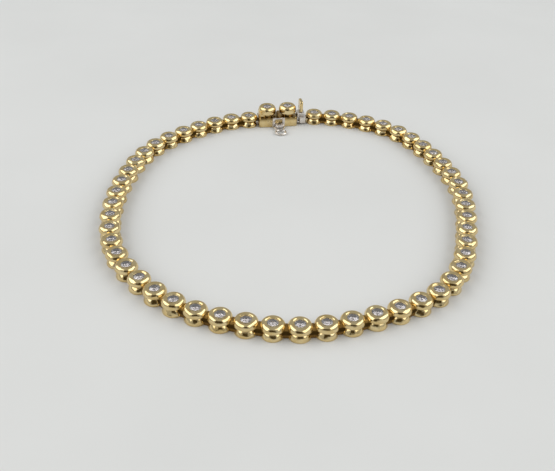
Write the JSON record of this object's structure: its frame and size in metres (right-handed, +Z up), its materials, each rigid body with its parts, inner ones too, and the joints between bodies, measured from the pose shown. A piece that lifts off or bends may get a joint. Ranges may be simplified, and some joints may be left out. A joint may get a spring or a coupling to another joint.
{
  "type": "tennis bracelet",
  "caption": "Closed loop of round bezel-set stones on waisted gold links, with a raised box clasp, its sprung tongue and thumb tab, and a wire safety latch lying open.",
  "frame": {"origin": "middle of the loop's plan, on the surface that the bracelet lies on", "axes": "+Z up, out of the faces of the stones; +Y towards the clasp, along the loop's longer way; +X to the right of a viewer who faces the clasp across the loop"},
  "size_m": [0.0566, 0.0628, 0.0046],
  "materials": {
    "yellow_gold": "polished yellow gold, slightly worn on the crests",
    "white_gold": "polished white gold",
    "diamond": "clear cut stone"
  },
  "bodies": {
    "bracelet": {"links_right": "yellow_gold", "links_left": "yellow_gold", "clasp_box": "yellow_gold", "clasp_stone_left": "diamond", "clasp_stone_right": "diamond", "tongue": "white_gold", "hinge_plate": "white_gold"},
    "latch": {"safety_latch": "white_gold"},
    "spring": {"tongue_spring": "white_gold", "thumb_tab": "yellow_gold"}
  },
  "joints": [
    {"name": "latch_hinge", "type": "hinge", "parent": "bracelet", "child": "latch", "pos_m": [-0.00223, 0.02649, 0.00042], "axis": [-0.983, -0.1837, 0], "range_deg": [0, 93]},
    {"name": "tab_press", "type": "hinge", "parent": "bracelet", "child": "spring", "pos_m": [-0.00453, 0.02818, 0.00118], "axis": [-0.1837, 0.983, 0], "range_deg": [0, 2.5], "stiffness_Nm_per_rad": 0.1}
  ]
}
